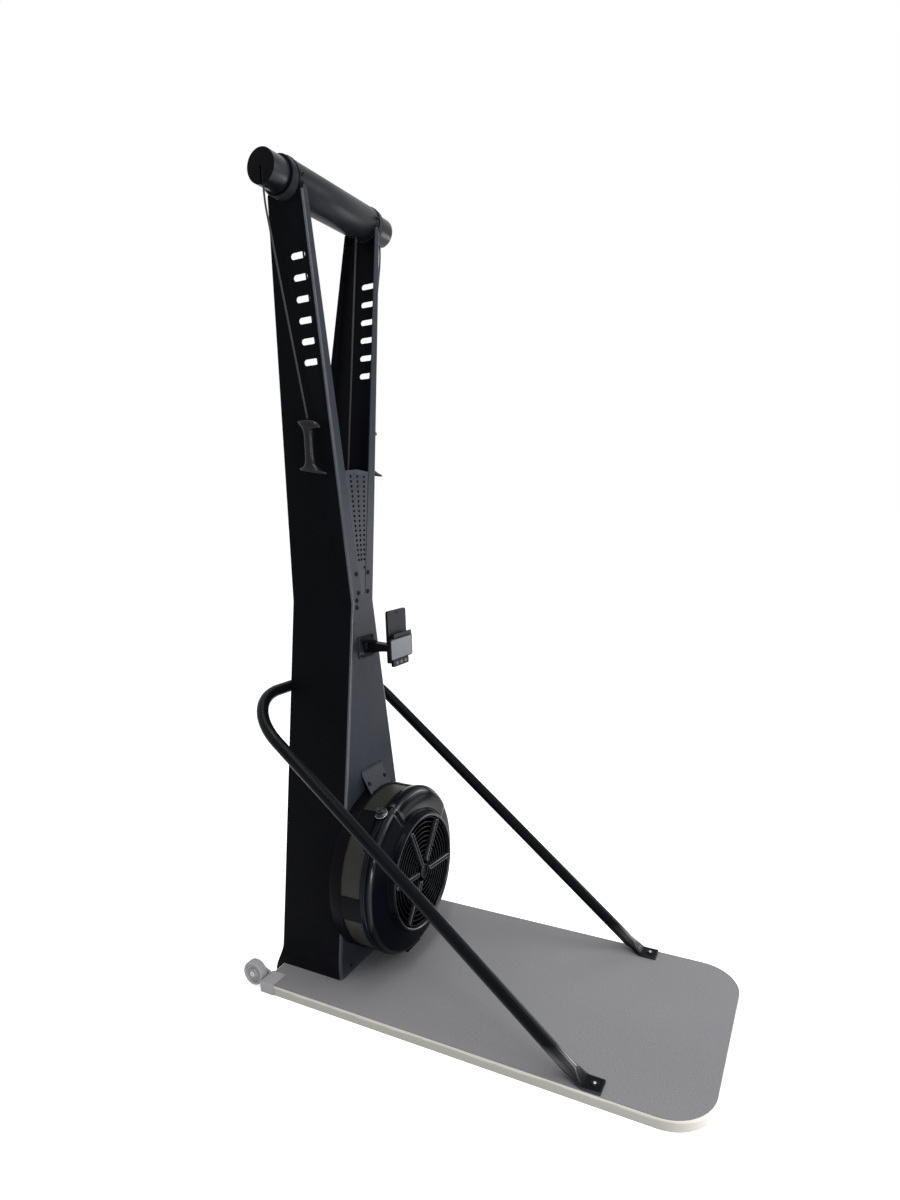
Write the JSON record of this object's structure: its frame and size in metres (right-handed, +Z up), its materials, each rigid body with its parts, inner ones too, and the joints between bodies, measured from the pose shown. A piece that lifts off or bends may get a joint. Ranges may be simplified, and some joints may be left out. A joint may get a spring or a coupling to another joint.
{
  "type": "ski trainer machine",
  "caption": "Standing ski trainer: forked sheet-metal column on a board, pull cords with handles over a crossbar, air-braked fan, console and support hoop.",
  "frame": {"origin": "centre of the board's underside, where it rests on the floor", "axes": "+X to the user's right, +Y away from the user, +Z up"},
  "size_m": [0.5966, 1.251, 2.178],
  "materials": {
    "black_paint": "black powder coat, satin",
    "slate_paint": "dark slate powder coat, satin",
    "black_moulding": "black moulded plastic",
    "gloss_moulding": "black moulded plastic, glossy",
    "rubber": "black elastic",
    "cord": "black braided cord",
    "grey_sheet": "grey anti-slip sheet",
    "pale_board": "board with a pale cream edge",
    "grey_moulding": "grey moulded plastic",
    "steel": "turned steel",
    "zinc": "zinc-plated steel",
    "mesh": "perforated sheet, painted",
    "screen": "display window"
  },
  "bodies": {
    "frame": {"base_board": "pale_board", "board_top_sheet": "grey_sheet", "corner_bracket_right": "grey_moulding", "corner_bracket_left": "grey_moulding", "wheel_axle_right": "zinc", "wheel_axle_left": "zinc", "column_front_plate": "slate_paint", "column_rear_plate": "black_paint", "column_side_right": "black_paint", "column_side_left": "black_paint", "vent_panel": "slate_paint", "column_foot_plate": "black_paint", "crossbar_tube": "black_paint", "pulley_head_right": "black_moulding", "pulley_head_left": "black_moulding", "roller_bracket": "black_paint", "drive_cord_left": "cord", "drive_cord_right": "cord", "shaft_bearing_front": "steel", "shaft_bearing_rear": "steel", "bearing_bracket": "black_paint", "return_bungee_left": "rubber", "return_bungee_right": "rubber", "bungee_anchor": "black_paint", "fan_rear_housing": "black_moulding", "fan_mesh_band": "mesh", "fan_front_cover": "gloss_moulding", "fan_grille": "gloss_moulding", "fan_upper_bracket": "slate_paint", "fan_lower_bracket": "black_paint", "monitor_bracket": "black_paint", "support_hoop": "black_paint", "hoop_clamp": "black_paint"},
    "flywheel": {"flywheel_shaft": "steel", "flywheel_disc": "steel", "fan_impeller": "black_moulding"},
    "handle_left": {"handle_left": "black_moulding", "pull_cord_left": "cord"},
    "handle_right": {"handle_right": "black_moulding", "pull_cord_right": "cord"},
    "head_pulley_left": {"head_pulley_left": "black_moulding"},
    "head_pulley_right": {"head_pulley_right": "black_moulding"},
    "idler_pulley_left": {"idler_pulley_left": "black_moulding"},
    "idler_pulley_right": {"idler_pulley_right": "black_moulding"},
    "guide_roller_left": {"guide_roller_left": "black_moulding"},
    "guide_roller_right": {"guide_roller_right": "black_moulding"},
    "cord_drum_left": {"cord_drum_left": "black_moulding"},
    "cord_drum_right": {"cord_drum_right": "black_moulding"},
    "damper": {"damper_ring": "black_moulding", "damper_knob": "black_moulding"},
    "monitor_arm": {"monitor_arm": "black_moulding"},
    "console": {"console_back": "black_moulding", "console_housing": "black_moulding", "console_screen": "screen", "console_keypad": "black_moulding"},
    "button_1": {"console_button_1": "grey_moulding"},
    "button_2": {"console_button_2": "grey_moulding"},
    "button_3": {"console_button_3": "grey_moulding"},
    "wheel_left": {"transport_wheel_left": "grey_moulding"},
    "wheel_right": {"transport_wheel_right": "grey_moulding"}
  },
  "joints": [
    {"name": "flywheel_spin", "type": "hinge", "parent": "frame", "child": "flywheel", "pos_m": [0, 0.4, 0.287], "axis": [0, 1, 0], "continuous": true},
    {"name": "handle_pull_left", "type": "slide", "parent": "frame", "child": "handle_left", "axis": [0, 0, -1], "range_m": [-0.05, 0.78], "stiffness_N_per_m": 8, "springref_m": -0.1, "deforming": ["pull_cord_left"]},
    {"name": "head_pulley_turn_left", "type": "hinge", "parent": "frame", "child": "head_pulley_left", "pos_m": [-0.233, 0.452, 2.133], "axis": [0, 1, 0], "range_deg": [-2002, 130]},
    {"name": "idler_pulley_turn_left", "type": "hinge", "parent": "frame", "child": "idler_pulley_left", "pos_m": [-0.162, 0.452, 2.132], "axis": [0, 1, 0], "range_deg": [-1915, 124]},
    {"name": "guide_roller_turn_left", "type": "hinge", "parent": "frame", "child": "guide_roller_left", "pos_m": [-0.0345, 0.43, 1.1], "axis": [0, 1, 0], "range_deg": [-3523, 227]},
    {"name": "cord_drum_turn_left", "type": "hinge", "parent": "frame", "child": "cord_drum_left", "pos_m": [0, 0.43, 0.287], "axis": [0, 1, 0], "range_deg": [-130, 2002]},
    {"name": "handle_pull_right", "type": "slide", "parent": "frame", "child": "handle_right", "axis": [0, 0, -1], "range_m": [-0.05, 0.78], "stiffness_N_per_m": 8, "springref_m": -0.1, "deforming": ["pull_cord_right"]},
    {"name": "head_pulley_turn_right", "type": "hinge", "parent": "frame", "child": "head_pulley_right", "pos_m": [0.233, 0.452, 2.133], "axis": [0, 1, 0], "range_deg": [-130, 2002]},
    {"name": "idler_pulley_turn_right", "type": "hinge", "parent": "frame", "child": "idler_pulley_right", "pos_m": [0.162, 0.452, 2.132], "axis": [0, 1, 0], "range_deg": [-124, 1915]},
    {"name": "guide_roller_turn_right", "type": "hinge", "parent": "frame", "child": "guide_roller_right", "pos_m": [0.0345, 0.474, 1.1], "axis": [0, 1, 0], "range_deg": [-227, 3523]},
    {"name": "cord_drum_turn_right", "type": "hinge", "parent": "frame", "child": "cord_drum_right", "pos_m": [0, 0.474, 0.287], "axis": [0, 1, 0], "range_deg": [-2002, 130]},
    {"name": "damper_turn", "type": "hinge", "parent": "frame", "child": "damper", "pos_m": [0, 0.327, 0.287], "axis": [0, -1, 0], "range_deg": [-2.5, 24]},
    {"name": "monitor_swivel", "type": "hinge", "parent": "frame", "child": "monitor_arm", "pos_m": [0, 0.374, 0.926], "axis": [0, 0, 1], "range_deg": [-25, 25]},
    {"name": "console_tilt", "type": "hinge", "parent": "monitor_arm", "child": "console", "pos_m": [0, 0.319, 0.926], "axis": [1, 0, 0], "range_deg": [-20, 10]},
    {"name": "button_press_1", "type": "slide", "parent": "console", "child": "button_1", "axis": [0, 1, 0], "range_m": [0, 0.0015], "stiffness_N_per_m": 300},
    {"name": "button_press_2", "type": "slide", "parent": "console", "child": "button_2", "axis": [0, 1, 0], "range_m": [0, 0.0015], "stiffness_N_per_m": 300},
    {"name": "button_press_3", "type": "slide", "parent": "console", "child": "button_3", "axis": [0, 1, 0], "range_m": [0, 0.0015], "stiffness_N_per_m": 300},
    {"name": "wheel_roll_left", "type": "hinge", "parent": "frame", "child": "wheel_left", "pos_m": [-0.2765, 0.628, 0.038], "axis": [1, 0, 0], "continuous": true},
    {"name": "wheel_roll_right", "type": "hinge", "parent": "frame", "child": "wheel_right", "pos_m": [0.2765, 0.628, 0.038], "axis": [1, 0, 0], "continuous": true}
  ],
  "couplings": [
    {"joint": "head_pulley_turn_left", "follows": "handle_pull_left", "rad_per_m": -44.773},
    {"joint": "idler_pulley_turn_left", "follows": "handle_pull_left", "rad_per_m": -42.826},
    {"joint": "guide_roller_turn_left", "follows": "handle_pull_left", "rad_per_m": -78.8},
    {"joint": "cord_drum_turn_left", "follows": "handle_pull_left", "rad_per_m": 44.773},
    {"joint": "head_pulley_turn_right", "follows": "handle_pull_right", "rad_per_m": 44.773},
    {"joint": "idler_pulley_turn_right", "follows": "handle_pull_right", "rad_per_m": 42.826},
    {"joint": "guide_roller_turn_right", "follows": "handle_pull_right", "rad_per_m": 78.8},
    {"joint": "cord_drum_turn_right", "follows": "handle_pull_right", "rad_per_m": -44.773}
  ]
}
